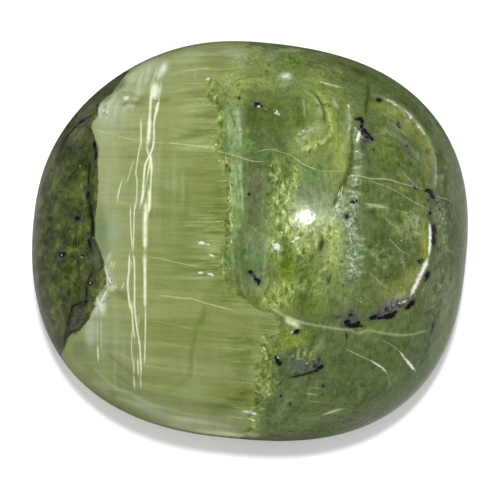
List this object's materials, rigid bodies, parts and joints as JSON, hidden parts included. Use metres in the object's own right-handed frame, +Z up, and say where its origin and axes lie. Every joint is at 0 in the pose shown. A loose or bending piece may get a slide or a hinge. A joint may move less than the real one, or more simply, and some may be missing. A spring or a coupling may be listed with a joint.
{
  "type": "cushion cut opal cabochon",
  "caption": "Polished green moss opal cut as a cushion cabochon, with a high dome, soft girdle and flat back for setting or display.",
  "frame": {"origin": "on the flat back, under the middle of the outline", "axes": "+X along the stone's long side, +Y along its short side, +Z up through the dome"},
  "size_m": [0.0174, 0.016, 0.0078],
  "materials": {
    "polished_opal": "polished"
  },
  "bodies": {
    "root": {"opal_cabochon": "polished_opal"}
  },
  "joints": []
}
